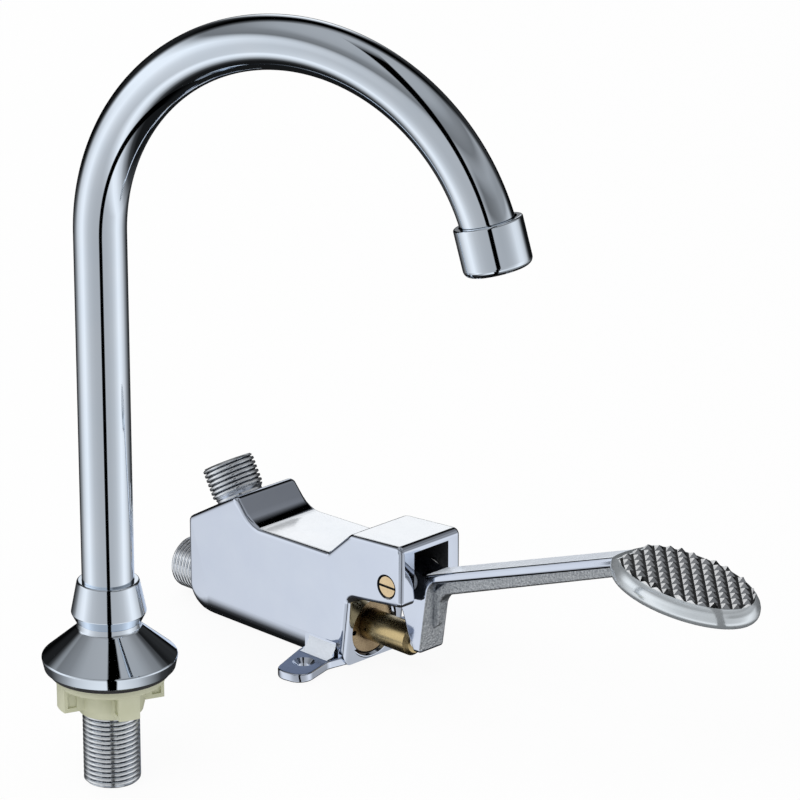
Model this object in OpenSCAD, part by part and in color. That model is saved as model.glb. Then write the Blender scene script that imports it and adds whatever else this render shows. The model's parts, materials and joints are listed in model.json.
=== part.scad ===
// Foot pedal tap: a pedal valve that screws to the floor, with the swivel gooseneck spout it feeds.
// Millimetres. Origin on the floor midway between the two floor screw holes, X towards the pedal, Z up.

/* [Valve body] */
// Width across the flat sides of the casting
body_w = 32.4; // [31.5:0.1:34]
// Rear face, behind the floor holes
rear_x = 78.5; // [77:0.5:95]
// Height of the rear face
rear_h = 39.3; // [36:0.1:42]
// Backward tilt of the outlet port
port_tilt = 30; // [15:1:40]
// Length of the sloping face round the outlet port
port_len = 32; // [31:0.5:36]
// Distance of the outlet axis from the lower edge of that face
port_seat = 15.6; // [15:0.1:18]
// Height of the level saddle between port and head
saddle_h = 45.3; // [43:0.1:48]
// Front face of the pivot head
head_x = 41.6; // [40:0.1:46]
// Height of the pivot head at its front
head_h = 58.6; // [57:0.1:66]
// Slope of the top of the pivot head
head_rise = 4.5; // [0:0.5:6]
// Underside of the pivot head at its front
head_under = 33.7; // [32:0.1:35]
// Front face of the lower casting
throat_x = 9; // [7:0.5:10]
// Depth of the round on the long lower edges
belly_r = 4.5; // [3.5:0.5:6]
// Height of that round
belly_h = 10; // [6:0.5:10.5]
// Round on the other edges
edge_r = 2; // [0.8:0.1:2.2]
// Width of the slot for the lever
slot_w = 18.5; // [15:0.5:19]

/* [Barrel] */
// Height of the plunger above the floor
axis_z = 13.9; // [13.9:0.1:16]
// Radius of the ring round the barrel mouth
ring_r = 13.8; // [13.4:0.05:13.85]
// Front face of that ring
ring_x = 9.6; // [9.6:0.1:12]
// Radius of the gland nut
gland_r = 11.9; // [10.5:0.1:12.2]
// Radius of the piston bore
bore_r = 8; // [7:0.1:9]
// Radius of the plunger rod
rod_r = 6.2; // [5:0.1:7]
// Flat end of the plunger rod, forward of the floor holes
rod_x = 33.7; // [33:0.1:36]
// Opening stroke of the plunger
stroke = 5.75; // [3:0.01:6]

/* [Floor lugs] */
// Distance between the two floor screw holes
lug_span = 56; // [52:0.5:62]
// Thickness of the lugs
lug_t = 3.6; // [2.6:0.2:5]
// Hollow round between lugs and sides
lug_fillet = 6; // [3:0.5:6]
// Diameter of the floor screw holes
lug_hole = 5.2; // [4:0.1:6.5]

/* [Pipe threads] */
// Outside diameter of the half-inch pipe thread
pipe_d = 20.955; // [20.955:0.001:20.955]
// Plain neck between a threaded end and the casting
neck_l = 2; // [1:0.5:4]
// Waterway through the threaded ends
way_d = 14; // [12:0.5:16]
// Free length of the inlet thread
inlet_len = 17.5; // [14:0.5:24]
// Height of the inlet above the floor
inlet_z = 11.5; // [11.5:0.1:14]
// Free length of the outlet thread
outlet_len = 15; // [12:0.5:20]

/* [Pedal lever] */
// Pivot, forward of the floor holes
pivot_x = 33.5; // [33:0.1:35]
// Pivot, above the floor
pivot_z = 40.7; // [40:0.1:42]
// Diameter of the pivot screw
pivot_d = 7; // [5:0.1:8]
// Width of the lever
lever_w = 13; // [10:0.5:15]
// Thickness of the pedal arm
arm_t = 4; // [3:0.1:6]
// Rise of the pedal arm
arm_rise = 19.4; // [17:0.1:21]
// Width of the stiffening rib
rib_w = 6; // [4:0.5:9]
// Full travel of the pedal in degrees
pedal_deg = 13; // [6:0.5:13]

/* [Pedal pad] */
// Length of the oval pad
pad_l = 64; // [55:0.5:70]
// Width of the oval pad
pad_w = 39.4; // [34:0.2:44]
// Thickness of the pad
pad_t = 8; // [7:0.1:9]
// Centre of the pad, forward of the floor holes
pad_x = 170.4; // [165:0.1:180]
// Height of the top of the pad
pad_z = 78.7; // [77:0.1:82]
// Nose-down tilt of the pad
pad_tilt = 6.5; // [0:0.5:12]
// Spacing of the tread pyramids
tooth_p = 3.6; // [3.2:0.05:5]
// Height of the tread pyramids
tooth_h = 1.8; // [1:0.1:2.5]
// Turn of the tread grid
tooth_turn = -38.5; // [-45:0.5:0]

/* [Spout] */
// Spout axis, forward of the floor holes
spout_x = 23.5; // [10:0.5:60]
// Spout axis, to the side of the valve
spout_y = -147.4; // [-200:0.1:-110]
// Direction the spout points, from straight ahead
spout_turn = 17.2; // [-60:0.1:60]
// Outside diameter of the spout tube
tube_d = 19; // [16:0.5:22]
// Wall of the spout tube
tube_wall = 1.2; // [0.8:0.1:2]
// Bend radius of the gooseneck
bend_r = 78; // [60:0.2:95]
// Height of the centre of the bend
bend_z = 208.2; // [170:0.1:260]
// Turn of the gooseneck past its top
past_top = 74.6; // [60:0.2:90]
// Diameter of the aerator shell
aerator_d = 24; // [22:0.2:26]
// Length of the aerator shell
aerator_l = 17; // [14:0.5:22]

/* [Spout base] */
// Underside of the base flange above the shank end
flange_z = 44.2; // [40:0.2:55]
// Largest diameter of the base flange
flange_d = 49.6; // [44:0.2:56]
// Top of the flange neck
neck_z = 62.2; // [58:0.2:66]
// Diameter of the flange neck
neck_d = 23.2; // [22.6:0.2:26]
// Largest diameter of the swivel nut
collar_d = 27.4; // [25:0.2:30]
// Top of the swivel nut
collar_z = 77.9; // [74:0.2:84]
// Diameter of the wing nut
wing_d = 40; // [34:0.5:44]
// Height of the wing nut
wing_h = 12; // [9:0.5:15]
// Thickness of the gasket under the flange
gasket_t = 1.8; // [1:0.1:3]

/* [Fits] */
// Radial clearance of turning and sliding fits
run_gap = 0.06; // [0.02:0.01:0.1]
// Radial clearance of fixed joints
fix_gap = 0.03; // [0.01:0.01:0.1]
// Clear gap between pieces that pass each other
free_gap = 0.35; // [0.3:0.05:0.6]

/* [Hidden] */
$fn = 64;
pipe_r = pipe_d / 2;
way_r = way_d / 2;
root_r = pipe_r - 1.16;
tube_r = tube_d / 2;
tube_in = tube_r - tube_wall;
pivot_r = pivot_d / 2;
arm_k = tan(arm_rise);

// Port face, from its lower rear edge up to the ridge
port_up = [cos(port_tilt), sin(port_tilt)];
port_out = [-sin(port_tilt), cos(port_tilt)];
port_foot = [-rear_x, rear_h];
port_top = port_foot + port_len * port_up;
port_mid = port_foot + port_seat * port_up;
port_deep = 8;

// Stations along the barrel, from the mouth back to the inlet
gland_in = 0.3;
gland_out = ring_x - 0.9;
piston_front = -2.6;
piston_back = -27;
chamber_front = -29;
seat_front = -56.5;
seat_back = seat_front - 2.5;
disc_front = seat_back - free_gap;
disc_back = disc_front - 2.3;
washer_back = disc_back - 1.5;
nut_back = washer_back - 2.3;
chamber_back = -rear_x + 5.5;
rod_edge = 1.5;
throat_lean = 3.5;
seal_x = 2;
stem_r = 3;
ring_wire = 0.95;

// Round nose on the lever that pushes the plunger
nose_r = 2.6;
nose_x = rod_x + free_gap + nose_r;
nose_z = axis_z + 1.5;
lever_arm = pivot_z - nose_z;
bend_x = pivot_x + 13.1;
rim_in = 2.3;
tread_in = rim_in + 0.15;
root_l = 10;
end_x = pad_x - pad_l / 2 + root_l;

// Lock screw of the gland nut
lock_x = 6.9;
lock_z = axis_z - 4.8;
lock_r = 1.02;
lock_sunk = 0.6;
lock_tip = gland_r - 2.2;
lock_end = lock_tip - 0.3;

pedal_ratio = stroke / (pedal_deg * PI / 180);

// Spout base
gasket_z = flange_z - gasket_t;
wing_z = gasket_z - 0.1 - wing_h;
shank_top = 52;
spigot_z = 34;
tube_foot = 56;
spigot_top = neck_z + 5.8;
hub_down = 2.8;
hub_r = pipe_r + 1.9;
shank_relief = 0.2;
socket_r = tube_r + 0.9;
insert_l = 7.4;
washer_l = 1.6;
spigot_r = tube_in - fix_gap;

// Corner [x, y, corner radius, edge round] of an outline becomes an arc of points [x, y, edge round]
function unit(v) = v / norm(v);
function corner(p, i) = let(
  n = len(p),
  a = [p[i][0], p[i][1]],
  b = [p[(i + n - 1) % n][0], p[(i + n - 1) % n][1]],
  c = [p[(i + 1) % n][0], p[(i + 1) % n][1]],
  u = unit(b - a),
  v = unit(c - a),
  half = acos(u * v) / 2,
  big = p[i][2],
  mid = a + unit(u + v) * big / max(0.01, sin(half)),
  s = a + u * big / max(0.01, tan(half)) - mid,
  e = a + v * big / max(0.01, tan(half)) - mid,
  a0 = atan2(s[1], s[0]),
  a1 = atan2(e[1], e[0]) - a0,
  turn = a1 > 180 ? a1 - 360 : a1 < -180 ? a1 + 360 : a1,
  m = max(2, ceil(abs(turn) / 14)),
  r0 = p[(i + n - 1) % n][3],
  r1 = p[i][3])
  big < 0.01 ? [[a[0], a[1], r1]] :
  [for (k = [0:m]) let(q = a0 + turn * k / m)
    [mid[0] + big * cos(q), mid[1] + big * sin(q), k == m ? r1 : r0 + (r1 - r0) * (k + 0.5) / m]];
function outline(p) = [for (i = [0:len(p) - 1]) each corner(p, i)];

// Inset of an outline at a depth below the flat side, edge by edge
function inward(a, b) = unit([a[1] - b[1], b[0] - a[0]]);
function tall(r) = 1 + (belly_h / belly_r - 1) * max(0, min(1, (r - edge_r) / (belly_r - edge_r)));
function cut(r, t) = t >= r ? 0 : (r - sqrt(max(0, 2 * r * t - t * t))) * tall(r);
function sunk(p, i, t) = let(
  n = len(p),
  a = p[i],
  b = p[(i + n - 1) % n],
  n1 = inward(b, a),
  n2 = inward(a, p[(i + 1) % n]),
  d1 = cut(b[2], t),
  d2 = cut(a[2], t),
  det = n1[0] * n2[1] - n1[1] * n2[0])
  abs(det) < 0.35
    ? [a[0], a[1]] + (n1 + n2) / (1 + n1 * n2) * (d1 + d2) / 2
    : [a[0] + (d1 * n2[1] - d2 * n1[1]) / det, a[1] + (n1[0] * d2 - n2[0] * d1) / det];

// Flat side of a slab as triangles
function area(a, b, c) = (b[0] - a[0]) * (c[1] - a[1]) - (b[1] - a[1]) * (c[0] - a[0]);
function holds(a, b, c, q) = area(a, b, q) >= 0 && area(b, c, q) >= 0 && area(c, a, q) >= 0;
function ear(p, ix, k) = let(
  n = len(ix),
  a = p[ix[(k + n - 1) % n]],
  b = p[ix[k]],
  c = p[ix[(k + 1) % n]])
  area(a, b, c) > 1e-6 && len([for (j = [2:n - 2]) if (holds(a, b, c, p[ix[(k + j) % n]])) 1]) == 0;
function first_ear(p, ix, k = 0) = k >= len(ix) ? 0 : ear(p, ix, k) ? k : first_ear(p, ix, k + 1);
function clip(p, ix, out = []) = len(ix) <= 3 ? concat(out, [ix]) : let(
  n = len(ix),
  k = first_ear(p, ix),
  rest = [for (j = [0:n - 1]) if (j != k) ix[j]])
  clip(p, rest, concat(out, [[ix[(k + n - 1) % n], ix[k], ix[(k + 1) % n]]]));

// Slab of an outline, centred on z = 0, with its rim rounded as each edge asks
module slab(p, w, small, big) {
  step = 22.5;
  near = [for (q = [0:step:90]) small * (1 - cos(q))];
  deep = big > small * 1.2
    ? [for (q = [15:15:90]) if (big * (1 - cos(q)) > small * 1.25) big * (1 - cos(q))]
    : [];
  t = concat(near, deep);
  n = len(p);
  m = len(t);
  z = concat([for (d = t) -w / 2 + d], [for (j = [m - 1:-1:0]) w / 2 - t[j]]);
  d = concat(t, [for (j = [m - 1:-1:0]) t[j]]);
  rows = len(z);
  pts = [for (j = [0:rows - 1]) for (i = [0:n - 1]) let(q = sunk(p, i, d[j])) [q[0], q[1], z[j]]];
  flat = [for (i = [0:n - 1]) sunk(p, i, 0)];
  cap = clip(flat, [for (i = [0:n - 1]) i]);
  low = [for (f = cap) [f[0], f[1], f[2]]];
  high = [for (f = cap) [for (k = [2:-1:0]) f[k] + (rows - 1) * n]];
  side = [for (j = [0:rows - 2]) for (i = [0:n - 1]) let(
    a = j * n + i,
    b = j * n + (i + 1) % n)
    each [[a, a + n, b], [b, a + n, b + n]]];
  polyhedron(points = pts, faces = concat(low, high, side), convexity = 8);
}

// Outline drawn in X and Z, thickness across Y
module upright(p, w, small, big) {
  rotate([90, 0, 0]) slab(p, w, small, big);
}

// Cylinder along X from x0 to x1 at the height z
module along(x0, x1, r, z) {
  translate([min(x0, x1), 0, z]) rotate([0, 90, 0]) cylinder(r = r, h = abs(x1 - x0));
}

// Frame of the outlet port: local Z leaves the port
module at_port() {
  translate([port_mid[0], 0, port_mid[1]]) rotate([0, -port_tilt, 0]) children();
}

// Frame of the spout: its axis on Z, the gooseneck towards X
module at_spout() {
  translate([spout_x, spout_y, 0]) rotate([0, 0, spout_turn]) children();
}

// Frame of the spout mouth: local Z runs with the water
module at_mouth() {
  translate([bend_r + bend_r * sin(past_top), 0, bend_z + bend_r * cos(past_top)])
    rotate([0, 90 + past_top, 0])
      children();
}

// Ring of round wire about the local Z axis
module wire_ring(r, wire) {
  rotate_extrude() translate([r, 0]) circle(wire, $fn = 24);
}

// Turned shape from a profile of [radius, height, corner radius]
module turned(p) {
  rotate_extrude() polygon([for (q = outline([for (c = p) [c[0], c[1], c[2], 0]])) [q[0], q[1]]]);
}

// Straight passage of radius r between two points of the middle plane
module passage(a, b, r) {
  d = b - a;
  translate([a[0], 0, a[1]]) rotate([0, atan2(d[0], d[1]), 0]) cylinder(r = r, h = norm(d));
}

module body_casting() {
  head_back = head_h - (head_x - 13) * tan(head_rise);
  upright(outline([
    [-rear_x, 0, 11, belly_r],
    [throat_x, 0, 0, edge_r],
    [throat_x + throat_lean, head_under - 3.6, 4, edge_r],
    [head_x, head_under, 2.6, edge_r],
    [head_x, head_h, 2.8, edge_r],
    [13, head_back, 4, edge_r],
    [1.2, saddle_h + 0.5, 2.2, edge_r],
    [port_top[0] + 9.6, saddle_h - 0.6, 13, edge_r],
    [port_top[0], port_top[1], 2.8, edge_r],
    [port_foot[0], port_foot[1], 2.6, edge_r]]), body_w, edge_r, belly_r);
}

module lug_plate() {
  y = lug_span / 2;
  translate([0, 0, lug_t / 2])
    slab(outline([
      [-12.5, -y + 16, 0, 0.7],
      [-11, -y + 8, 14, 0.7],
      [-2.8, -y - 13.2, 6, 0.7],
      [11.4, -y - 10.9, 6, 0.7],
      [6.6, -y + 7, 6, 0.7],
      [throat_x - 0.4, -ring_r + 4, 4, 0.7],
      [throat_x - 0.4, -3, 0, 0.7],
      [-12.5, -3, 0, 0.7]]), lug_t, 0.7, 0.7);
}

// Hollow round that carries the side of the casting out into a lug
module lug_round() {
  translate([-9, -body_w / 2 - lug_fillet, lug_t - 0.5]) difference() {
    cube([14.8, lug_fillet + 4, lug_fillet + 0.5]);
    translate([-1, 0, lug_fillet + 0.5]) rotate([0, 90, 0]) cylinder(r = lug_fillet, h = 17);
  }
}

module valve_body() {
  color([0.80, 0.82, 0.86])
  difference() {
    union() {
      body_casting();
      lug_plate();
      mirror([0, 1, 0]) lug_plate();
      lug_round();
      mirror([0, 1, 0]) lug_round();
      translate([-11.5, 0.04 - body_w / 2, 0])
        cube([11.5 + throat_x - edge_r, body_w - 0.08, belly_h + 2]);
      along(throat_x - 2.5, ring_x - 0.7, ring_r, axis_z);
      translate([ring_x - 0.7, 0, axis_z]) rotate([0, 90, 0])
        cylinder(r1 = ring_r, r2 = ring_r - 0.7, h = 0.7);
      along(-rear_x, -rear_x + 12, pipe_r + 0.9, inlet_z);
    }
    along(0, throat_x + throat_lean + 4, gland_r + fix_gap, axis_z);
    translate([ring_x - 1.1, 0, axis_z]) rotate([0, 90, 0])
      cylinder(r1 = gland_r + fix_gap, r2 = gland_r + 0.9, h = 1.2);
    along(chamber_front - 1, 1, bore_r, axis_z);
    along(chamber_back, chamber_front, bore_r + 1, axis_z);
    along(-rear_x - 1, chamber_back, root_r + fix_gap, inlet_z);
    at_port() translate([0, 0, -port_deep]) cylinder(r = root_r + fix_gap, h = port_deep + 4);
    passage(port_mid - (port_deep - 1) * port_out, [-47, axis_z + 2], 4.6);
    translate([22, -slot_w / 2, head_under - 14]) cube([head_x, slot_w, head_h - head_under + 10.4]);
    translate([pivot_x, body_w / 2 + 1, pivot_z]) rotate([90, 0, 0])
      cylinder(r = pivot_r + fix_gap, h = body_w + 2);
    translate([pivot_x, -body_w / 2 - 1, pivot_z]) rotate([-90, 0, 0]) cylinder(r = 5, h = 2.7);
    for (s = [-1, 1]) {
      translate([0, s * lug_span / 2, -1]) cylinder(d = lug_hole, h = lug_t + 2);
      translate([0, s * lug_span / 2, lug_t - 1.7]) cylinder(r1 = lug_hole / 2, r2 = 4.5, h = 1.8);
    }
    translate([lock_x, -body_w / 2 - 3, lock_z]) rotate([-90, 0, 0])
      cylinder(r = lock_r + fix_gap, h = body_w / 2 + 3 - lock_end);
  }
}

module inlet_nipple() {
  color([0.74, 0.76, 0.79])
  difference() {
    union() {
      along(-rear_x - neck_l - 1, chamber_back - 0.1, root_r, inlet_z);
      along(-rear_x - inlet_len + 1, -rear_x - neck_l, pipe_r, inlet_z);
      translate([-rear_x - inlet_len, 0, inlet_z]) rotate([0, 90, 0])
        cylinder(r1 = pipe_r - 0.9, r2 = pipe_r, h = 1);
    }
    along(-rear_x - inlet_len - 1, chamber_back + 1, way_r, inlet_z);
  }
}

module outlet_nipple() {
  color([0.74, 0.76, 0.79])
  at_port() difference() {
    union() {
      translate([0, 0, 0.1 - port_deep]) cylinder(r = root_r, h = port_deep + neck_l + 1);
      translate([0, 0, neck_l]) cylinder(r = pipe_r, h = outlet_len - neck_l - 1);
      translate([0, 0, outlet_len - 1]) cylinder(r1 = pipe_r, r2 = pipe_r - 0.9, h = 1);
    }
    translate([0, 0, -port_deep - 1]) cylinder(r = way_r, h = port_deep + outlet_len + 2);
  }
}

module gland_nut() {
  color([0.80, 0.62, 0.30])
  difference() {
    union() {
      along(gland_in, gland_out - 0.7, gland_r, axis_z);
      translate([gland_out - 0.7, 0, axis_z]) rotate([0, 90, 0])
        cylinder(r1 = gland_r, r2 = gland_r - 0.7, h = 0.7);
    }
    along(gland_in - 1, gland_out + 1, rod_r + run_gap, axis_z);
    along(seal_x, seal_x + 3, rod_r + 1.9, axis_z);
    for (s = [-1, 1])
      translate([gland_out - 3, s * 9, axis_z - 1.4]) rotate([0, 90, 0]) cylinder(r = 1.1, h = 4);
    translate([lock_x, -gland_r - 1, lock_z]) rotate([-90, 0, 0])
      cylinder(r = lock_r + fix_gap, h = gland_r + 1 - lock_end);
  }
}

module gland_seal() {
  color([0.08, 0.08, 0.09])
  difference() {
    along(seal_x + 0.05, seal_x + 2.95, rod_r + 1.9 - fix_gap, axis_z);
    along(seal_x - 1, seal_x + 4, rod_r + run_gap, axis_z);
  }
}

module gland_screw() {
  color([0.55, 0.56, 0.58])
  translate([lock_x, -body_w / 2 + lock_sunk, lock_z]) rotate([-90, 0, 0]) difference() {
    cylinder(r = lock_r, h = body_w / 2 - lock_sunk - lock_tip);
    translate([-2, -0.25, -0.1]) cube([4, 0.5, 0.7]);
  }
}

module valve_seat() {
  color([0.80, 0.62, 0.30])
  difference() {
    along(seat_back, seat_front, bore_r + 1 - fix_gap, axis_z);
    along(seat_back - 1, seat_front + 1, 4.4, axis_z);
  }
}

module pivot_screw() {
  color([0.80, 0.62, 0.30])
  translate([pivot_x, -body_w / 2 + 0.35, pivot_z]) rotate([-90, 0, 0]) difference() {
    union() {
      cylinder(r1 = 4.5, r2 = 4.8, h = 0.4);
      translate([0, 0, 0.4]) cylinder(r = 4.8, h = 0.9);
      cylinder(r = pivot_r, h = body_w - 1.2);
    }
    translate([-6, -0.55, -0.1]) cube([12, 1.1, 1]);
  }
}

module pivot_bush() {
  color([0.85, 0.84, 0.80])
  translate([pivot_x, 0, pivot_z]) rotate([90, 0, 0]) difference() {
    cylinder(r = pivot_r + 1.2, h = slot_w - 2 * free_gap, center = true);
    cylinder(r = pivot_r + run_gap, h = slot_w + 2, center = true);
  }
}

// Underside of the pedal arm at x
function arm_under(x) = pivot_z + 6.28 + (x - pivot_x - 26.3) * arm_k;

module lever_plate() {
  top = arm_t / cos(arm_rise);
  upright(outline([
    [nose_x + 5.45, nose_z - 2.6, 1.5, 1.3],
    [bend_x, arm_under(bend_x), 6, 1.3],
    [end_x, arm_under(end_x), 0, 1.3],
    [end_x, arm_under(end_x) + top, 0, 1.3],
    [bend_x - 4, arm_under(bend_x - 4) + top, 7, 1.3],
    [pivot_x - 2, pivot_z + 7.6, 6, 1.3],
    [pivot_x - 7.8, pivot_z + 2.8, 5, 1.3],
    [pivot_x - 7, pivot_z - 6.6, 5, 1.3],
    [pivot_x - 1.8, pivot_z - 12.6, 6, 1.3],
    [nose_x - 1.25, nose_z + 2.7, 8, 1.3],
    [nose_x + 1.45, nose_z - 3, 1.3, 1.3]]), lever_w, 1.3, 1.3);
}

module lever_rib() {
  deep = 5;
  upright(outline([
    [nose_x + 6.75, nose_z + 6.6, 0, 1],
    [nose_x + 9.95, nose_z + 9.1, 2.4, 1],
    [bend_x + 2.8, pivot_z - 4.2, 7, 1],
    [bend_x + 5.8, arm_under(bend_x + 5.8) - deep - 0.6, 5, 1],
    [end_x - 8, arm_under(end_x - 8) - deep + 0.6, 6, 1],
    [end_x, arm_under(end_x) - 1.5, 0, 1],
    [end_x, arm_under(end_x) + 2, 0, 1],
    [bend_x + 8.4, arm_under(bend_x + 8.4) + 2, 0, 1],
    [bend_x - 2.2, arm_under(bend_x - 2.2) - 4, 5, 1]]), rib_w, 1, 1);
}

module at_pad() {
  translate([pad_x, 0, pad_z]) rotate([0, pad_tilt, 0]) children();
}

// Oval pad: a sloping rim round the tread and a bowl-shaped lower edge, as rings of points
module pad_plate() {
  n = 48;
  bowl = 3.2;
  rings = concat(
    [[rim_in, 0], [rim_in - 0.5, -0.35], [0.3, -2.5], [0, -3.6]],
    [for (q = [0:18:90]) [bowl * (1 - cos(q)), bowl - pad_t - bowl * sin(q)]]);
  rows = len(rings);
  pts = [for (r = rings) for (k = [0:n - 1])
    [(pad_l / 2 - r[0]) * cos(360 * k / n), (pad_w / 2 - r[0]) * sin(360 * k / n), r[1]]];
  top = [for (k = [1:n - 2]) [0, k + 1, k]];
  bottom = [for (k = [1:n - 2]) [0, k, k + 1] + (rows - 1) * n * [1, 1, 1]];
  side = [for (j = [0:rows - 2]) for (k = [0:n - 1]) let(
    a = j * n + k,
    b = j * n + (k + 1) % n)
    each [[a, b, a + n], [b, b + n, a + n]]];
  polyhedron(points = pts, faces = concat(top, bottom, side), convexity = 4);
}

// Tread: rows of square pyramids from the root of the arm on, cut off at the border oval
module pad_tread() {
  reach = ceil(pad_l / 2 / tooth_p) + 1;
  far = tooth_p * 0.1 - tread_in;
  e = [cos(tooth_turn), sin(tooth_turn)] * tooth_p;
  g = [-sin(tooth_turn), cos(tooth_turn)] * tooth_p;
  intersection() {
    translate([0, 0, -1])
      scale([pad_l / 2 - tread_in, pad_w / 2 - tread_in, 1]) cylinder(r = 1, h = tooth_h + 2, $fn = 96);
    for (i = [-reach:reach], j = [-reach:reach]) {
      c = i * e + j * g;
      clear = c[0] > root_l + tooth_p / 2 - pad_l / 2;
      if (clear && pow(c[0] / (pad_l / 2 + far), 2) + pow(c[1] / (pad_w / 2 + far), 2) < 1)
        translate([c[0], c[1], -0.3])
          rotate([0, 0, tooth_turn + 45])
            cylinder(r1 = tooth_p * 0.69, r2 = tooth_p * 0.17, h = tooth_h + 0.3, $fn = 4);
    }
  }
}

module pedal_lever() {
  color([0.72, 0.74, 0.78])
  difference() {
    union() {
      lever_plate();
      lever_rib();
      translate([nose_x, 0, nose_z]) rotate([90, 0, 0]) cylinder(r = nose_r, h = 8, center = true);
      at_pad() pad_plate();
      at_pad() pad_tread();
    }
    translate([pivot_x, 0, pivot_z]) rotate([90, 0, 0])
      cylinder(r = pivot_r + 1.2 + fix_gap, h = lever_w + 4, center = true);
  }
}

module plunger() {
  groove = bore_r - run_gap - 2 * ring_wire;
  color([0.80, 0.62, 0.30])
  difference() {
    union() {
      along(piston_front - 1, rod_x - rod_edge, rod_r, axis_z);
      translate([rod_x - rod_edge, 0, axis_z]) rotate([0, 90, 0])
        cylinder(r1 = rod_r, r2 = rod_r - rod_edge, h = rod_edge);
      along(piston_back, piston_front, bore_r - run_gap, axis_z);
      along(nut_back - 0.2, piston_back + 1, stem_r, axis_z);
    }
    for (x = [piston_front - 6.2, piston_back + 3.6])
      difference() {
        along(x, x + 2.6, bore_r + 1, axis_z);
        along(x - 1, x + 4, groove, axis_z);
      }
  }
}

module piston_ring(x) {
  translate([x + 1.3, 0, axis_z]) rotate([0, 90, 0])
    wire_ring(bore_r - run_gap - ring_wire + 0.01, ring_wire - 0.02);
}

module piston_ring_front() {
  color([0.08, 0.08, 0.09]) piston_ring(piston_front - 6.2);
}

module piston_ring_back() {
  color([0.08, 0.08, 0.09]) piston_ring(piston_back + 3.6);
}

module valve_disc() {
  color([0.10, 0.10, 0.11])
  difference() {
    along(disc_back, disc_front, 7.4, axis_z);
    along(disc_back - 1, disc_front + 1, stem_r + fix_gap, axis_z);
  }
}

module disc_washer() {
  color([0.80, 0.62, 0.30])
  difference() {
    along(washer_back, disc_back - 0.02, 7.4, axis_z);
    along(washer_back - 1, disc_back + 1, stem_r + fix_gap, axis_z);
  }
}

module disc_nut() {
  color([0.80, 0.62, 0.30])
  difference() {
    translate([nut_back, 0, axis_z]) rotate([0, 90, 0]) cylinder(r = 4.9, h = 2.28, $fn = 6);
    along(nut_back - 1, washer_back + 1, stem_r + fix_gap, axis_z);
  }
}

// Return spring: one unbroken wire wound round the plunger stem
spring_r = 5.4;
spring_wire = 0.7;
spring_turns = 8;
spring_x0 = piston_back - spring_wire - 0.1;
spring_x1 = seat_front + spring_wire + 0.1;
spring_pitch = (spring_x0 - spring_x1) / spring_turns;
spring_gap = spring_pitch - 2 * spring_wire;
echo(spring_gap_mm = spring_gap);
echo(pedal_ratio_mm_per_rad = pedal_ratio, lever_arm_mm = lever_arm);

module return_spring() {
  rings = 8 * spring_turns;
  sides = 6;
  lean = atan2(spring_pitch, 2 * PI * spring_r);
  pts = [for (k = [0:rings]) for (s = [0:sides - 1]) let(
    q = 360 * k / 8,
    w = 360 * s / sides,
    out = spring_r + spring_wire * cos(w),
    ax = spring_wire * sin(w) * cos(lean),
    tn = spring_wire * sin(w) * sin(lean))
    [spring_x1 + spring_pitch * k / 8 + ax,
     out * cos(q) + tn * sin(q),
     out * sin(q) - tn * cos(q)]];
  side = [for (k = [0:rings - 1]) for (s = [0:sides - 1]) let(
    a = k * sides + s,
    b = k * sides + (s + 1) % sides)
    each [[a, b, a + sides], [b, b + sides, a + sides]]];
  start = [[for (s = [sides - 1:-1:0]) s]];
  finish = [[for (s = [0:sides - 1]) rings * sides + s]];
  color([0.62, 0.63, 0.65])
  translate([0, 0, axis_z]) polyhedron(points = pts, faces = concat(start, finish, side), convexity = 10);
}

module threaded_shank() {
  color([0.74, 0.76, 0.79])
  at_spout() difference() {
    union() {
      cylinder(r1 = pipe_r - 0.9, r2 = pipe_r, h = 1);
      translate([0, 0, 1]) cylinder(r = pipe_r, h = wing_z - hub_down - 1.2);
      translate([0, 0, 1]) cylinder(r = pipe_r - shank_relief, h = shank_top - 1);
    }
    translate([0, 0, -1]) cylinder(r = way_r, h = shank_top + 2);
    translate([0, 0, spigot_z - 0.5]) cylinder(r = spigot_r + run_gap, h = shank_top);
  }
}

module base_flange() {
  in_r = tube_r + run_gap;
  color([0.80, 0.82, 0.86])
  at_spout() difference() {
    turned([
      [2, flange_z, 0],
      [flange_d / 2 - 1, flange_z, 0.5],
      [flange_d / 2, flange_z + 4.6, 0.8],
      [neck_d / 2, neck_z - 2.2, 1.4],
      [neck_d / 2, neck_z, 0.3],
      [socket_r, neck_z, 0],
      [socket_r, neck_z + 7.6, 0.3],
      [2, neck_z + 7.6, 0]]);
    translate([0, 0, flange_z - 1]) cylinder(r = pipe_r + fix_gap, h = shank_top + 0.2 - flange_z + 1);
    translate([0, 0, shank_top]) cylinder(r = spigot_r + run_gap, h = 6);
    translate([0, 0, tube_foot - 0.5]) cylinder(r = in_r, h = 30);
  }
}

module base_gasket() {
  color([0.07, 0.07, 0.08])
  at_spout() translate([0, 0, gasket_z]) difference() {
    cylinder(r = flange_d / 2 - 2.8, h = gasket_t - 0.02);
    translate([0, 0, -1]) cylinder(r = pipe_r + 0.3, h = gasket_t + 2);
  }
}

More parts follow.
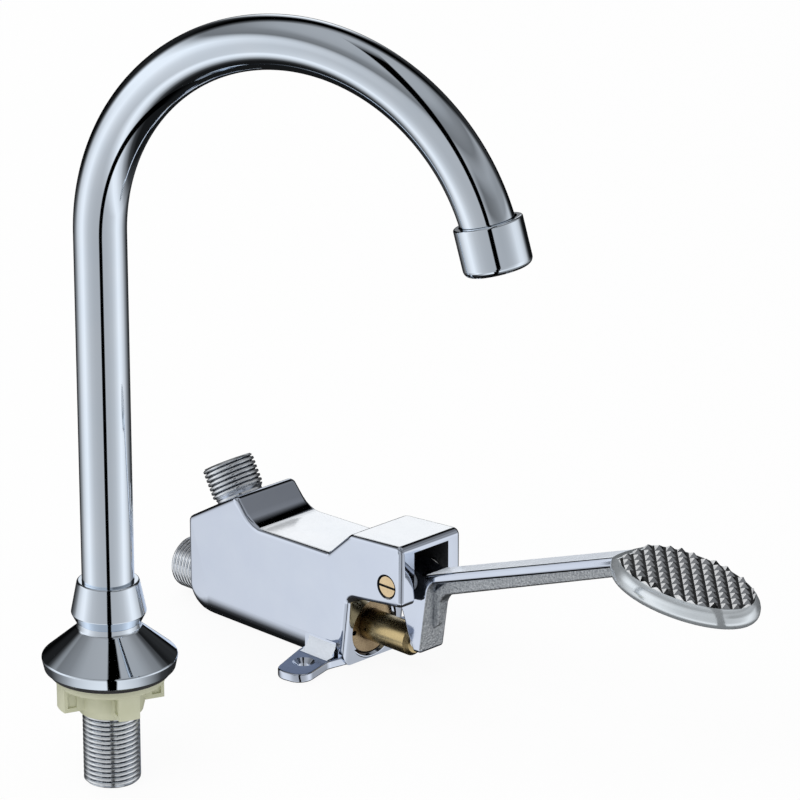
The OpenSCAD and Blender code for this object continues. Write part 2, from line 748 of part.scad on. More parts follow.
// Plastic back nut: a round flange, a long hub and four radial wings with sunk panels
module wing_nut() {
  cap = 3.4;
  wing_w = 8;
  color([0.88, 0.85, 0.74])
  at_spout() translate([0, 0, wing_z]) difference() {
    union() {
      translate([0, 0, wing_h - cap]) turned([
        [2, 0, 0], [wing_d / 2, 0, 0.8], [wing_d / 2, cap, 0.8], [2, cap, 0]]);
      turned([
        [2, -hub_down, 0], [hub_r - 0.7, -hub_down, 0.5], [hub_r, 0, 0],
        [hub_r, wing_h - 1, 0], [2, wing_h - 1, 0]]);
      linear_extrude(wing_h - 1) intersection() {
        circle(wing_d / 2 - 0.3);
        for (q = [52, 142]) rotate(q) square([wing_d + 2, wing_w], center = true);
      }
    }
    translate([0, 0, -hub_down - 1]) cylinder(r = pipe_r + fix_gap, h = wing_h + hub_down + 2);
    for (q = [52:90:322]) rotate([0, 0, q])
      for (s = [-1, 1])
        translate([hub_r + 2.2, s * wing_w / 2 - 0.8, 1.6]) cube([wing_d / 2 - hub_r - 4.2, 1.6, 5.6]);
  }
}

module swivel_nut() {
  color([0.80, 0.82, 0.86])
  at_spout() difference() {
    turned([
      [2, neck_z + 0.05, 0],
      [neck_d / 2 + 0.3, neck_z + 0.05, 0.5],
      [collar_d / 2, neck_z + 3.6, 0.8],
      [tube_r + 1.8, collar_z, 0.8],
      [2, collar_z, 0]]);
    translate([0, 0, neck_z - 1]) cylinder(r = socket_r + fix_gap, h = 12);
    translate([0, 0, neck_z]) cylinder(r = tube_r + run_gap, h = 30);
  }
}

// Bend of the gooseneck as a round bar, run on past the mouth by a few degrees
module bend(r, past) {
  translate([bend_r, 0, bend_z]) rotate([90, 0, 0]) rotate([0, 0, 90 - past_top - past])
    rotate_extrude(angle = 90 + past_top + past, $fn = 128) translate([bend_r, 0]) circle(r);
}

// The bend draws the tube thinner by a hair where it leaves the straight riser
module spout_tube() {
  draw = 0.05;
  riser = bend_z - tube_foot + 0.5;
  color([0.82, 0.84, 0.88])
  at_spout() difference() {
    union() {
      translate([0, 0, tube_foot]) cylinder(r = tube_r, h = riser);
      bend(tube_r - draw, 0);
    }
    translate([0, 0, tube_foot - 1]) cylinder(r = tube_in, h = riser + 1);
    bend(tube_in - draw, 1);
    translate([0, 0, neck_z + 8.2]) difference() {
      cylinder(r = tube_r + 2, h = 2);
      translate([0, 0, -1]) cylinder(r = tube_r - 0.5, h = 4);
    }
  }
}

module spout_spigot() {
  groove = spigot_r - 2 * ring_wire;
  color([0.80, 0.62, 0.30])
  at_spout() difference() {
    translate([0, 0, spigot_z]) cylinder(r = spigot_r, h = spigot_top - spigot_z);
    translate([0, 0, spigot_z - 1]) cylinder(r = way_r - 2, h = spigot_top - spigot_z + 2);
    for (z = [spigot_z + 3, spigot_z + 10])
      translate([0, 0, z]) difference() {
        cylinder(r = spigot_r + 1, h = 2.6);
        translate([0, 0, -1]) cylinder(r = groove, h = 5);
      }
  }
}

module spigot_ring(z) {
  at_spout() translate([0, 0, z + 1.3]) wire_ring(spigot_r - ring_wire + 0.01, ring_wire - 0.02);
}

module spigot_ring_upper() {
  color([0.08, 0.08, 0.09]) spigot_ring(spigot_z + 10);
}

module spigot_ring_lower() {
  color([0.08, 0.08, 0.09]) spigot_ring(spigot_z + 3);
}

module split_ring() {
  color([0.90, 0.90, 0.88])
  at_spout() translate([0, 0, neck_z + 8.3]) difference() {
    cylinder(r = socket_r - run_gap, h = 1.8);
    translate([0, 0, -1]) cylinder(r = tube_r - 0.48, h = 4);
    translate([-tube_r - 3, -1, -1]) cube([6, 2, 4]);
  }
}

module aerator_gasket() {
  color([0.08, 0.08, 0.09])
  at_spout() at_mouth() translate([0, 0, 0.02]) difference() {
    cylinder(r = tube_r + 0.6, h = washer_l);
    translate([0, 0, -1]) cylinder(r = 6.5, h = 4);
  }
}

module aerator_insert() {
  color([0.80, 0.81, 0.83])
  at_spout() at_mouth() translate([0, 0, washer_l + 0.04]) difference() {
    cylinder(r = tube_r + 0.55, h = insert_l);
    translate([0, 0, -1]) cylinder(r = 7.6, h = 3);
    for (ring = [[0, 1], [2.6, 6], [5.2, 12], [7.8, 18]])
      for (k = [0:ring[1] - 1]) rotate([0, 0, k * 360 / ring[1]])
        translate([ring[0], 0, 1]) cylinder(r = 0.75, h = 9, $fn = 16);
  }
}

module aerator_shell() {
  back = 5.3;
  color([0.82, 0.84, 0.88])
  at_spout() at_mouth() translate([0, 0, -back]) difference() {
    turned([
      [2, 0, 0],
      [aerator_d / 2, 0, 0.7],
      [aerator_d / 2, aerator_l, 2.6],
      [2, aerator_l, 0]]);
    translate([0, 0, -1]) cylinder(r = tube_r + 0.6 + fix_gap, h = back + washer_l + insert_l + 1.2);
    translate([0, 0, back]) cylinder(r = tube_r - 0.4, h = aerator_l);
  }
}

valve_body();
inlet_nipple();
outlet_nipple();
gland_nut();
gland_seal();
gland_screw();
valve_seat();
pivot_screw();
pivot_bush();
pedal_lever();
plunger();
piston_ring_front();
piston_ring_back();
valve_disc();
disc_washer();
disc_nut();
return_spring();
threaded_shank();
base_flange();
base_gasket();
wing_nut();
swivel_nut();
spout_tube();
spout_spigot();
spigot_ring_upper();
spigot_ring_lower();
split_ring();
aerator_gasket();
aerator_insert();
aerator_shell();
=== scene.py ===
import json
import math

import bmesh
import bpy
from mathutils import Matrix, Vector

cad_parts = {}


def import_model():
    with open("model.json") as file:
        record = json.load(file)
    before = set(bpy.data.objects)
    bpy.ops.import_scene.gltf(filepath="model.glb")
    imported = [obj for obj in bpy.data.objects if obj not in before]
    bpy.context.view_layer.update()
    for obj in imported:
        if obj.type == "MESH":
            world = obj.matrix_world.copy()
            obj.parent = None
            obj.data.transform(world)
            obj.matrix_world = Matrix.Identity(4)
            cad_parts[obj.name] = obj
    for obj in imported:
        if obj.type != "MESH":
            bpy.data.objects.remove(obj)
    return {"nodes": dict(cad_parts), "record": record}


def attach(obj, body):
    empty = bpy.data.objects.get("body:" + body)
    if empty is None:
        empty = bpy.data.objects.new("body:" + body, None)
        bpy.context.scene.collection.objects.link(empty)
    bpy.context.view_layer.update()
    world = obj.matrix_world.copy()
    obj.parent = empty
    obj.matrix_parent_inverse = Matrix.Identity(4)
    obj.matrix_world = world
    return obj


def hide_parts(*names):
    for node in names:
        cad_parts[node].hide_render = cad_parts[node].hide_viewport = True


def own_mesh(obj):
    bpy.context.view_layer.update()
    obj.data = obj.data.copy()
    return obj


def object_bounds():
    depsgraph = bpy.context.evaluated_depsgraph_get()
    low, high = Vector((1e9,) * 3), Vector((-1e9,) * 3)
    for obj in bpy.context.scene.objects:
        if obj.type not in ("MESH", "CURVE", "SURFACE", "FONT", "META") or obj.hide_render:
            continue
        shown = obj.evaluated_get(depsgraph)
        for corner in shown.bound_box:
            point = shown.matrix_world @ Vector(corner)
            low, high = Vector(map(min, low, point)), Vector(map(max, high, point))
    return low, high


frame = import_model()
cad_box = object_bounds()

# Sizes are in millimetres and angles in degrees, unless a comment says otherwise.
MM, MICRON = 0.001, 0.000001                     # in metres
WELD = 0.002 * MM                                # in metres: corners that are closer are one
NEAR = 0.05                                      # slack when a face is told by its place
ROUND = 72                                       # sides of a round pipe
SOFT, SOFT_THREAD = 32.0, 60.0                   # edges that turn less are shaded as one surface

# Least share of a direction in the normal of a face that looks that way
LEVEL, UPWARD, STEEP, FACING, SLIGHT = 0.97, 0.8, 0.5, 0.3, 0.05

# Half-inch pipe threads: crest, pitch, waterway, root, steepness of the flanks, rings per turn, plain neck,
# chamfers, gap between the bore's last ring and the mouth; radii of the painted shade in the root, and where it ends
PIPE_R, PITCH, WAY_R = 10.4775, 1.814, 7.0
ROOT_R = PIPE_R - 1.162
FLANK, TURN_RINGS = 1.7, 10
THREAD_FROM, MOUTH_CHAMFER, BORE_CHAMFER, BORE_SHORT = 1.0, 0.9, 0.5, 0.6
ROOT_SHADE_RADII, ROOT_SHADE_SHORT = (ROOT_R - 0.1, ROOT_R + 0.45), 1.0

# Valve casting: rear face, ports, head, slot, gland bore, lugs with their fillets
REAR_X, REAR_H = -78.5, 39.3
INLET_Z, INLET_LEN, INLET_DEEP = 11.5, 17.5, 5.4
PORT_TILT, PORT_SEAT, PORT_DEEP, OUTLET_LEN = 30.0, 15.6, 7.9, 15.0
TOP_X, TOP_Z = REAR_X + 40, REAR_H - 8           # the saddle and the head's top lie beyond these
HEAD_X, HEAD_UNDER = 9.0, (26.0, 36.0)
SLOT_HALF, SLOT_BACK, SLOT_TOP = 9.25, 22.0, 55.0
AXIS_Z, GLAND_R = 13.9, 11.95
LUG_T, LUG_FILLET, BODY_HALF = 3.6, 7.0, 16.2
LUG_FROM = BODY_HALF + 1

# Pivot screw: axis (x, z), recess, head, face of the head (y), share of the radius that it keeps, its slot
PIVOT_AT, PIVOT_RECESS, PIVOT_HEAD, PIVOT_FACE = (33.5, 40.7), 5.05, 3.6, -15.85
PIVOT_KEEP, PIVOT_SLOT_HALF, PIVOT_SLOT_DEEP = 0.91, 0.6, 1.0

# Return spring
SPRING_R, SPRING_WIRE, SPRING_TURNS = 5.4, 0.7, 8
SPRING_FROM, SPRING_TO, SPRING_SEAT, SPRING_KEEP = -55.7, -27.8, -56.5, 0.803
SPRING_STEPS, SPRING_SIDES = 28, 12

# Lever: rough front, painted light on the top of the arm, end of the arm in the pad, rib that tapers from its bend
# to its end
FRONT_X, FRONT_TOP, ARM_TOP_X = PIVOT_AT[0] + 9, 43.0, 46.0
ARM_CUT, ARM_RISE, ARM_INTO, ARM_DEEP = 137.6, 19.4, 7.4, 5.6
RIB_HALF, RIB_END, RIB_BEND, RIB_TIP = 3.0, 27.0, 38.0, 0.4

# Pad: middle of its top (x, z), tilt, length and width, inset of the tread, slope down to the arm, bowl, depth
PAD_AT, PAD_TILT, PAD_L, PAD_W = (170.4, 78.7), 6.5, 64.0, 39.4
TREAD_IN, ARM_JOIN, ARM_SLOPE = 2.45, -24.9, 25.9
PAD_RIM = [(TREAD_IN, 0.0), (2.3, 0.0), (1.8, -0.35), (1.05, -1.2), (0.3, -2.5), (0.0, -3.6)]  # inset, height
PAD_BOWL, PAD_DEEP, PAD_SIDES, BOWL_STEPS = 3.2, 8.0, 96, 8

# Tread: turn of the rows, pitches, height, half gaps, half lengths of the tip, depth in the pad, rows each way
STUD_TURN, STUD_ALONG, STUD_ACROSS, STUD_H = -43.5, 4.45, 4.1, 1.15
STUD_GAP, STUD_TIP, STUD_SINK, STUD_ROWS = (0.1, 0.38), (0.3, 0.2), 0.05, 9
TREAD_REACH, TREAD_FROM = 1.06, ARM_JOIN - 0.4   # limits for the middle of a stud: share of the oval, x

# Spout: place (x, y), turn, tube, bend, shank and its bore for the spigot
SPOUT_AT, SPOUT_TURN = (23.5, -147.4), 17.2
TUBE_R, TUBE_IN, TUBE_FOOT = 9.5, 8.3, 56.0
BEND_R, BEND_Z, PAST_TOP, BEND_RINGS = 78.0, 208.2, 74.6, 110
SHANK_TOP, SHANK_FROM, SHANK_VISIBLE, SHANK_RELIEF = 52.0, 0.5, 27.3, 0.2
SPIGOT_Z, SPIGOT_BORE = 33.5, 8.33

# Camera of the photograph
CAM_AT, CAM_AIM = (1154.6, -1129.9, 669.6), (131.5, -106.8, 162.9)
CAM_LENS, CAM_SENSOR, CAM_AZIMUTH = 200.8, 36.0, -45.0
CAM_CLIP = (0.1, 50.0)                           # in metres

# Studio, in metres: dome, floor, light of the sky
DOME_R, DOME_SEGMENTS, DOME_RINGS = 4.0, 64, 32
FLOOR_SIZE, FLOOR_Z, FLOOR_GREY, FLOOR_WHITE = 30.0, -0.0003, 0.85, 0.92
SKY_LIGHT = 0.75

# Brightness of the dome by direction from the object. Front is towards the camera, side is to the right in the
# picture and flank is to either side; front, side and up go from -1 to 1. Walls are (place from the back, 0, to the
# front, 1; brightness), and the ceiling is (up; brightness). Fades are (from, to, value at from, value at to) of the
# direction that is named beside them. Cards are darkness, and the stripe is brightness.
LOW_WALL = [(0.0, 0.01), (0.12, 0.05), (0.27, 0.38), (0.34, 0.62), (0.5, 0.92), (0.6, 0.98), (0.72, 0.74),
            (0.82, 0.58), (0.92, 0.50), (1.0, 0.46)]
MID_WALL = [(0.0, 1.0), (0.35, 1.0), (0.6, 1.0), (0.75, 0.75), (0.92, 0.52), (1.0, 0.48)]
CEILING = [(0.45, 0.45), (0.6, 0.20), (0.75, 0.26), (0.87, 0.40), (1.0, 0.44)]
ALONG_WALL = (-1, 1, 0, 1)                       # front, to the place on a wall
INVERT = (0, 1, 1, 0)                            # darkness to brightness
STEEP_DOWN = (-1.0, -0.45, -1.4, 0)              # up: the low wall goes dark below the object
MID_FROM = (0.02, 0.20, 0, 1)                    # up
CEILING_FROM = (0.34, 0.58, 0, 1)                # up
CEILING_BACK = (-0.62, -0.38, 0, 1)              # front
RIGHT_CARD = {"side": (0.12, 0.40, 0, 1), "up": (-0.05, 0.22, 0, 0.68)}
LEFT_CARD = {"side": (-0.36, -0.18, 0.82, 0), "front": (-0.55, -0.30, 1, 0)}
EDGE_CARDS = {"flank": (0.08, 0.24, 0, 0.92), "up": (-0.30, -0.12, 0, 1), "front": (-0.62, -0.38, 1, 0)}
STRIPE_AT, STRIPE = 0.065, (0.10, 0.13, 0, 1)    # side, and distance from there
STRIPE_BACK = (-0.20, 0.10, 1, 0)                # front: the dark stripe stays on the camera's side

SLOT_OF = {s["node"]: s["material_slot"] for s in frame["record"]["subparts"]}
BODY_OF = {n: b for b, ns in frame["record"]["behaviour"]["bodies"].items() for n in ns}


# Node helpers

NOISE_SPAN = (0.3, 0.7)                          # most values of a noise lie in this range
WAVE_UNIT = 20                                   # Blender's wave texture multiplies its place by this
# Painted shade in deep corners: these stops darken a colour where a corner is closed
CORNER_SHADE_STOPS = [(0.28, (0.07, 0.045, 0.03)), (0.78, 1.0)]  # openness of a corner, and what its colour is multiplied by


def add(tree, kind, **settings):
    node = tree.nodes.new(kind)
    for key, value in settings.items():
        setattr(node, key, value)
    return node


def calc(tree, operation, a, b=None):
    """Math node on a socket, and on a second socket or a number."""
    node = add(tree, "ShaderNodeMath", operation=operation)
    tree.links.new(a, node.inputs[0])
    if isinstance(b, float):
        node.inputs[1].default_value = b
    elif b is not None:
        tree.links.new(b, node.inputs[1])
    return node.outputs["Value"]


def noise(tree, scale, detail=3.0):
    """Noise in the part's own coordinates; scale is in cycles per metre."""
    place = add(tree, "ShaderNodeTexCoord")
    tex = add(tree, "ShaderNodeTexNoise")
    tex.inputs["Scale"].default_value = scale
    tex.inputs["Detail"].default_value = detail
    tree.links.new(place.outputs["Object"], tex.inputs["Vector"])
    return tex.outputs["Fac"]


def ramp(tree, fac, stops):
    """Colour ramp; stops are (place, grey level or colour)."""
    node = add(tree, "ShaderNodeValToRGB")
    elements = node.color_ramp.elements
    while len(elements) < len(stops):
        elements.new(0.5)
    for element, (place, colour) in zip(elements, stops):
        element.position = place
        element.color = (*colour, 1) if isinstance(colour, tuple) else (colour, colour, colour, 1)
    tree.links.new(fac, node.inputs["Fac"])
    return node.outputs["Color"]


def fade(tree, fac, span):
    """Maps a value by (from, to, value at from, value at to), and holds it beyond both ends."""
    node = add(tree, "ShaderNodeMapRange")
    for key, value in zip(("From Min", "From Max", "To Min", "To Max"), span):
        node.inputs[key].default_value = value
    tree.links.new(fac, node.inputs["Value"])
    return node.outputs["Result"]


def bump(tree, bsdf, height, distance):
    node = add(tree, "ShaderNodeBump")
    node.inputs["Strength"].default_value = 1.0
    node.inputs["Distance"].default_value = distance
    tree.links.new(height, node.inputs["Height"])
    tree.links.new(node.outputs["Normal"], bsdf.inputs["Normal"])


def corner_shaded(tree, colour, reach):
    """Colour with painted shade in deep corners, darker where less open space lies round a point; reach is in
    millimetres.
    """
    corner = add(tree, "ShaderNodeAmbientOcclusion", samples=8)
    corner.inputs["Distance"].default_value = reach * MM
    mix = add(tree, "ShaderNodeMix", data_type="RGBA", blend_type="MULTIPLY")
    mix.inputs["Factor"].default_value = 1.0
    tree.links.new(colour, mix.inputs["A"])
    tree.links.new(ramp(tree, corner.outputs["AO"], CORNER_SHADE_STOPS), mix.inputs["B"])
    return mix.outputs["Result"]


def tool_rings(tree, pitch):
    """Faint rings that a lathe tool leaves along X; pitch is in millimetres."""
    place = add(tree, "ShaderNodeTexCoord")
    rings = add(tree, "ShaderNodeTexWave", wave_type="BANDS", bands_direction="X")
    rings.inputs["Scale"].default_value = 2 * math.pi / (WAVE_UNIT * pitch * MM)
    rings.inputs["Distortion"].default_value = 0.6
    tree.links.new(place.outputs["Object"], rings.inputs["Vector"])
    return rings.outputs["Fac"]


def finish_of(name, colours, rough, grain, height, metal=1.0, specular=0.5, variation=60.0, tool_pitch=0.0,
              corner_shade=0.0):
    """Surface with mottled colour, uneven gloss, relief of fine grain or tool rings, and painted shade in deep
    corners when a reach for it is given; height is in microns.
    """
    mat = bpy.data.materials.new(name)
    mat.use_nodes = True
    tree = mat.node_tree
    bsdf = tree.nodes["Principled BSDF"]
    bsdf.inputs["Metallic"].default_value = metal
    bsdf.inputs["Specular IOR Level"].default_value = specular
    colour = ramp(tree, noise(tree, variation), list(zip(NOISE_SPAN, colours)))
    # painted shade in deep corners, when a reach for it is given
    tree.links.new(corner_shaded(tree, colour, corner_shade) if corner_shade else colour, bsdf.inputs["Base Color"])
    fine = noise(tree, grain, detail=4.0)
    tree.links.new(fade(tree, fine, NOISE_SPAN + rough), bsdf.inputs["Roughness"])
    bump(tree, bsdf, tool_rings(tree, tool_pitch) if tool_pitch else fine, height * MICRON)
    return mat


# Finishes

CHROME_CAST = finish_of("cast_chrome", ((0.645, 0.71, 0.84), (0.675, 0.74, 0.86)), (0.05, 0.09), 260.0, 6)
CHROME_TUBE = finish_of("tube_chrome", ((0.77, 0.86, 0.97), (0.80, 0.88, 0.98)), (0.03, 0.05), 200.0, 1)
CHROME_THREAD = finish_of("thread_metal", ((0.74, 0.78, 0.83), (0.82, 0.85, 0.89)), (0.10, 0.18), 900.0, 10,
                          metal=0.9)
# Painted shade in the root of a thread
THREAD_ROOT_SHADE = finish_of("thread_root_shade", ((0.26, 0.28, 0.31), (0.36, 0.38, 0.41)), (0.20, 0.32), 900.0, 10)
ROUGH_CAST = finish_of("rough_cast", ((0.34, 0.37, 0.41), (0.74, 0.77, 0.80)), (0.28, 0.50), 1100.0, 400,
                       variation=1300.0)
# Painted shade: a near-black copy of the metal for the casting's slot, bore, the underside of its head, the recess
# round the pivot, and the pivot screw's slot
PAINTED_SHADE_CAST = finish_of("painted_shade_cast", ((0.02, 0.021, 0.023), (0.05, 0.052, 0.056)), (0.45, 0.65), 900.0, 100,
                      metal=0.3)
# Painted dark reflection: a darkened copy of the chrome for the level tops of the lugs
PAINTED_DARK_LUG_TOP = finish_of("painted_dark_lug_top", ((0.115, 0.148, 0.222), (0.135, 0.17, 0.25)), (0.10, 0.18), 500.0, 10)
# Painted highlight: a near-white, part-diffuse copy of the chrome for the casting's level tops
PAINTED_LIT_TOP = finish_of("painted_lit_top", ((0.86, 0.90, 0.95), (0.90, 0.93, 0.97)), (0.10, 0.16), 260.0, 4,
                       metal=0.4)
# Painted light: a pale, non-metal copy of the chrome for upward faces of the lugs' fillets and the arm's top
PAINTED_LIT_PALE = finish_of("painted_lit_pale", ((0.76, 0.81, 0.89), (0.81, 0.86, 0.93)), (0.22, 0.30), 500.0, 3, metal=0.0,
                  specular=0.1)
# The tread's copies of one metal: the first is its mid tone, the second is painted light for facets turned to the
# light, the third is painted shade for facets turned away and for the pad's top between the studs
TREAD = finish_of("tread_metal", ((0.34, 0.36, 0.39), (0.52, 0.54, 0.57)), (0.12, 0.20), 900.0, 4)
PAINTED_LIT_FACET = finish_of("tread_painted_lit_facet", ((0.84, 0.86, 0.88), (0.92, 0.93, 0.94)), (0.25, 0.38), 900.0, 4,
                      metal=0.2)
TREAD_SHADE = finish_of("tread_painted_shade", ((0.05, 0.053, 0.057), (0.10, 0.104, 0.11)), (0.35, 0.55), 900.0, 30)
RIM = finish_of("pad_rim", ((0.74, 0.80, 0.85), (0.80, 0.85, 0.89)), (0.08, 0.13), 500.0, 2, metal=0.7)
# Both brasses have painted shade in their deep corners
BRASS = finish_of("brass", ((0.64, 0.50, 0.26), (0.68, 0.54, 0.29)), (0.24, 0.32), 700.0, 3, tool_pitch=0.5,
                  corner_shade=9.0)
BRASS_PALE = finish_of("brass_pale", ((0.80, 0.62, 0.38), (0.86, 0.69, 0.45)), (0.22, 0.34), 900.0, 10,
                       corner_shade=24.0)
STEEL = finish_of("steel", ((0.55, 0.56, 0.58), (0.64, 0.65, 0.67)), (0.25, 0.38), 900.0, 10)
RUBBER = finish_of("rubber", ((0.012, 0.012, 0.013), (0.03, 0.03, 0.032)), (0.45, 0.65), 1400.0, 30, metal=0.0)
CREAM = finish_of("cream_plastic", ((0.54, 0.55, 0.39), (0.61, 0.62, 0.46)), (0.36, 0.5), 700.0, 20, metal=0.0,
                  variation=90.0)
PALE = finish_of("pale_plastic", ((0.78, 0.78, 0.76), (0.84, 0.84, 0.82)), (0.35, 0.5), 800.0, 20, metal=0.0)

FINISH = {
    "cast_chrome": CHROME_CAST, "tube_chrome": CHROME_TUBE, "thread_metal": CHROME_THREAD, "brass": BRASS,
    "steel": STEEL, "rubber": RUBBER, "cream_plastic": CREAM, "pale_plastic": PALE,
}


# Mesh helpers

def make_piece(name, verts, faces, node, finish=None, sharp=SOFT, weld=0.0):
    """Mesh piece that stands for a CAD node and rides its body, with soft shading between sharp edges."""
    mesh = bpy.data.meshes.new(name)
    mesh.from_pydata([Vector(v) for v in verts], [], faces)
    bm = bmesh.new()
    bm.from_mesh(mesh)
    if weld:
        bmesh.ops.remove_doubles(bm, verts=bm.verts, dist=weld)
    bmesh.ops.recalc_face_normals(bm, faces=bm.faces)
    for face in bm.faces:
        face.smooth = True
    bm.to_mesh(mesh)
    bm.free()
    mesh.set_sharp_from_angle(angle=math.radians(sharp))
    piece = bpy.data.objects.new(name, mesh)
    bpy.context.scene.collection.objects.link(piece)
    weighted = piece.modifiers.new("even_flats", "WEIGHTED_NORMAL")
    weighted.keep_sharp = True
    weighted.weight = 100
    mesh.materials.append(finish or FINISH[SLOT_OF[node]])
    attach(piece, BODY_OF[node])
    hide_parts(node)
    return piece


def paint(piece, more, number_of):
    """Gives a piece more finishes, numbered from 1; number_of says which one a face has, or 0 for the first."""
    for finish in more:
        piece.data.materials.append(finish)
    for face in piece.data.polygons:
        face.material_index = number_of(face)


def cad_mesh(node):
    """Corners and faces of a CAD node."""
    source = frame["nodes"][node].data
    return [v.co.copy() for v in source.vertices], [list(p.vertices) for p in source.polygons]


def placed(to_frame, points):
    """Points in millimetres, put in the frame in metres."""
    return [to_frame @ (p * MM) for p in points]


def grid_shell(rings):
    """Faces between successive closed rings of equal length, and back to the first ring."""
    sides = len(rings[0])
    verts = [p for ring in rings for p in ring]
    faces = []
    for i in range(len(rings)):
        for k in range(sides):
            a = i * sides + k
            b = i * sides + (k + 1) % sides
            c = ((i + 1) % len(rings)) * sides
            faces.append([a, b, c + (k + 1) % sides, c + k])
    return verts, faces


def ring_at(place, radius):
    """Ring of points about local Z at the height place; radius is a number or a function of the turn, 0 to 1."""
    points = []
    for k in range(ROUND):
        turn = k / ROUND
        r = radius(turn) if callable(radius) else radius
        q = 2 * math.pi * turn
        points.append(Vector((r * math.cos(q), r * math.sin(q), place)))
    return points


# Threads

def thread_radius(place, turn):
    """Radius of a right-hand pipe thread at a height and a share of a turn."""
    t = (place / PITCH - turn) % 1.0
    rise = min(1.0, FLANK * abs(2 * t - 1))
    return PIPE_R - (PIPE_R - ROOT_R) * (1 - rise * rise * (3 - 2 * rise))


def thread_ring(place, start, top):
    """Ring of a thread that runs out at the height start and is cut off at the radius top."""
    run_out = min(1.0, (place - start) / PITCH)
    return ring_at(place, lambda turn: min(top, ROOT_R + (thread_radius(place, turn) - ROOT_R) * run_out))


def threaded_pipe(name, node, to_frame, back, start, end, bore=None, low_until=-math.inf):
    """Pipe end along local Z: plain from back to start, threaded from there to end, with a chamfered mouth.

    The bore is a list of (place, radius) from the back, and crests up to low_until are a little lower."""
    rows = math.ceil((end - start) / (PITCH / TURN_RINGS))
    rings = [ring_at(back, ROOT_R)]
    for i in range(rows + 1):
        place = start + (end - start) * i / rows
        crest = PIPE_R if place > low_until else PIPE_R - SHANK_RELIEF
        rings.append(thread_ring(place, start, min(crest, PIPE_R - MOUTH_CHAMFER + (end - place))))
    rings += [ring_at(end, WAY_R + BORE_CHAMFER), ring_at(end - BORE_CHAMFER, WAY_R)]
    inside = (bore or [(back, WAY_R)]) + [(end - BORE_SHORT, WAY_R)]
    rings += [ring_at(place, r) for place, r in reversed(inside)]
    verts, faces = grid_shell(rings)
    to_pipe = to_frame.inverted()

    def number_of(face):
        c = to_pipe @ face.center / MM
        # painted shade in the root of the thread, short of both ends
        in_root = ROOT_SHADE_RADII[0] < math.hypot(c.x, c.y) < ROOT_SHADE_RADII[1]
        return 1 if in_root and start + PITCH < c.z < end - ROOT_SHADE_SHORT else 0

    paint(make_piece(name, placed(to_frame, verts), faces, node, sharp=SOFT_THREAD), [THREAD_ROOT_SHADE], number_of)


def inlet_thread():
    backwards = Matrix.Rotation(math.radians(-90), 4, "Y")
    to_frame = Matrix.Translation(Vector((REAR_X, 0, INLET_Z)) * MM) @ backwards
    threaded_pipe("inlet_pipe_end", "inlet_nipple", to_frame, -INLET_DEEP, THREAD_FROM, INLET_LEN)


def outlet_thread():
    tilt = math.radians(PORT_TILT)
    foot = Vector((REAR_X + PORT_SEAT * math.cos(tilt), 0, REAR_H + PORT_SEAT * math.sin(tilt)))
    to_frame = Matrix.Translation(foot * MM) @ Matrix.Rotation(-tilt, 4, "Y")
    threaded_pipe("outlet_pipe_end", "outlet_nipple", to_frame, -PORT_DEEP, THREAD_FROM, OUTLET_LEN)


def shank_thread():
    """Shank under the spout: its thread is full where it shows, and a little lower inside the flange."""
    down = Matrix.Rotation(math.radians(180), 4, "X")
    to_frame = Matrix.Translation(Vector((*SPOUT_AT, 0)) * MM) @ down
    bore = [(-SHANK_TOP, SPIGOT_BORE), (-SPIGOT_Z, SPIGOT_BORE), (-SPIGOT_Z, WAY_R)]
    start = -SHANK_TOP + SHANK_FROM
    threaded_pipe("shank_pipe", "threaded_shank", to_frame, -SHANK_TOP, start, 0.0, bore, -SHANK_VISIBLE)


# Other pieces

def gooseneck():
    """Seamless tube: a straight riser that runs on into the bend."""
    stations = [(Vector((0, 0, z)), 0.0) for z in (TUBE_FOOT, (TUBE_FOOT + BEND_Z) / 2)]
    for i in range(BEND_RINGS + 1):
        turn = math.radians(90 + PAST_TOP) * i / BEND_RINGS
        place = Vector((BEND_R - BEND_R * math.cos(turn), 0, BEND_Z + BEND_R * math.sin(turn)))
        stations.append((place, turn))

    def wall(radius):
        ring = ring_at(0, radius)
        return [[place + Matrix.Rotation(turn, 3, "Y") @ p for p in ring] for place, turn in stations]

    verts, faces = grid_shell(wall(TUBE_R) + list(reversed(wall(TUBE_IN))))
    swivel = Matrix.Rotation(math.radians(SPOUT_TURN), 4, "Z")
    to_frame = Matrix.Translation(Vector((*SPOUT_AT, 0)) * MM) @ swivel
    make_piece("gooseneck_tube", placed(to_frame, verts), faces, "spout_tube")


def coil_spring():
    """Round wire wound round the plunger stem."""
    sides = SPRING_SIDES
    count = SPRING_TURNS * SPRING_STEPS
    lean = math.atan2((SPRING_TO - SPRING_FROM) / SPRING_TURNS, 2 * math.pi * SPRING_R)
    rings = []
    for i in range(count + 1):
        q = 2 * math.pi * i / SPRING_STEPS
        centre = Vector((SPRING_FROM + (SPRING_TO - SPRING_FROM) * i / count, 0, 0))
        out = Vector((0, math.cos(q), math.sin(q)))
        along = Vector((math.cos(lean), math.sin(lean) * math.sin(q), -math.sin(lean) * math.cos(q)))
        wire = []
        for s in range(sides):
            w = 2 * math.pi * s / sides
            p = centre + out * (SPRING_R + SPRING_WIRE * math.cos(w)) + along * SPRING_WIRE * math.sin(w)
            wire.append((p + Vector((0, 0, AXIS_Z))) * MM)
        rings.append(wire)
    verts, faces = grid_shell(rings)
    ends = [list(range(sides)), list(range(count * sides, (count + 1) * sides))]
    spring = make_piece("coil_spring", verts, faces[:count * sides] + ends, "return_spring")
    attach(spring, "base")
    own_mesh(spring)


